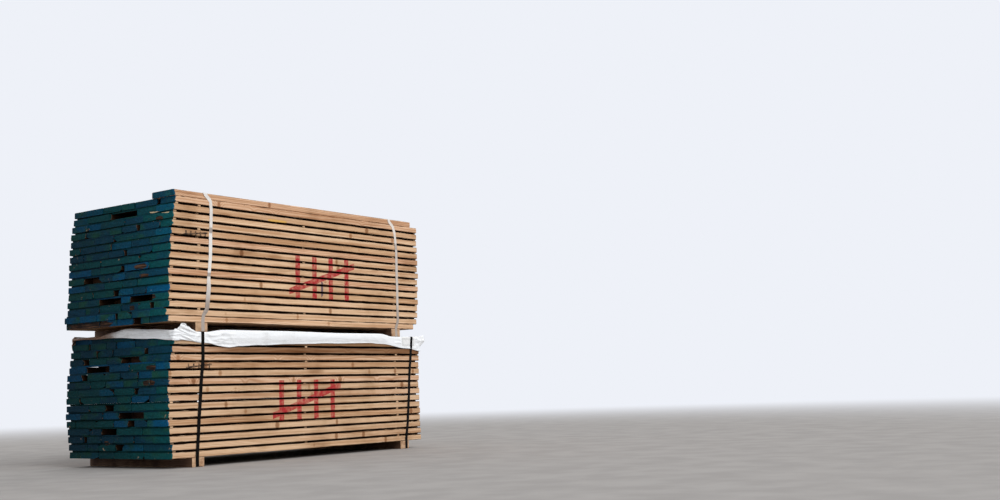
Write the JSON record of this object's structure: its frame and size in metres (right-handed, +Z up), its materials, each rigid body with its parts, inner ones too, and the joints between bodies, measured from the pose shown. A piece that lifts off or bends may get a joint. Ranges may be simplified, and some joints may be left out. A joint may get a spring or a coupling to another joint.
{
  "type": "stack of lumber",
  "caption": "Strapped packs of sawn boards stacked one on the other on wooden bearers, with laths between the layers, painted board ends and a sheet over the lower pack.",
  "frame": {"origin": "on the floor, below the middle of the stack", "axes": "+X along the boards, away from the painted end that the picture shows; +Y across the packs, away from the long side that it shows; +Z up"},
  "size_m": [3.0694, 1.308, 2.18],
  "materials": {
    "upper_boards": "sawn, tan edges, ends painted blue green",
    "lower_boards": "sawn, tan edges, ends painted blue green",
    "laths": "rough sawn, dusty",
    "bearers": "rough sawn",
    "dark_straps": "black, satin",
    "pale_straps": "pale grey, satin",
    "seals": "zinc grey, crimped",
    "corner_pieces": "off white, scuffed",
    "cover_sheet": "white coated sheet, creased"
  },
  "bodies": {
    "root": {"corner_piece_back": "corner_pieces", "corner_piece_front": "corner_pieces", "lower_bearer_left": "bearers", "lower_bearer_right": "bearers", "lower_pack_cover": "cover_sheet", "lower_pack_laths": "laths", "lower_pack_layer_01": "lower_boards", "lower_pack_layer_02": "lower_boards", "lower_pack_layer_03": "lower_boards", "lower_pack_layer_04": "lower_boards", "lower_pack_layer_05": "lower_boards", "lower_pack_layer_06": "lower_boards", "lower_pack_layer_07": "lower_boards", "lower_pack_layer_08": "lower_boards", "lower_pack_layer_09": "lower_boards", "lower_pack_layer_10": "lower_boards", "lower_pack_layer_11": "lower_boards", "lower_pack_layer_12": "lower_boards", "lower_pack_layer_13": "lower_boards", "lower_pack_layer_14": "lower_boards", "lower_pack_layer_15": "lower_boards", "lower_pack_layer_16": "lower_boards", "lower_seal_left": "seals", "lower_seal_right": "seals", "lower_strap_left": "dark_straps", "lower_strap_right": "dark_straps", "upper_bearer_left": "bearers", "upper_bearer_right": "bearers", "upper_pack_laths": "laths", "upper_pack_layer_01": "upper_boards", "upper_pack_layer_02": "upper_boards", "upper_pack_layer_03": "upper_boards", "upper_pack_layer_04": "upper_boards", "upper_pack_layer_05": "upper_boards", "upper_pack_layer_06": "upper_boards", "upper_pack_layer_07": "upper_boards", "upper_pack_layer_08": "upper_boards", "upper_pack_layer_09": "upper_boards", "upper_pack_layer_10": "upper_boards", "upper_pack_layer_11": "upper_boards", "upper_pack_layer_12": "upper_boards", "upper_pack_layer_13": "upper_boards", "upper_pack_layer_14": "upper_boards", "upper_pack_layer_15": "upper_boards", "upper_pack_layer_16": "upper_boards", "upper_pack_layer_17": "upper_boards", "upper_seal_left": "seals", "upper_seal_right": "seals", "upper_strap_left": "pale_straps", "upper_strap_right": "pale_straps"}
  },
  "joints": []
}
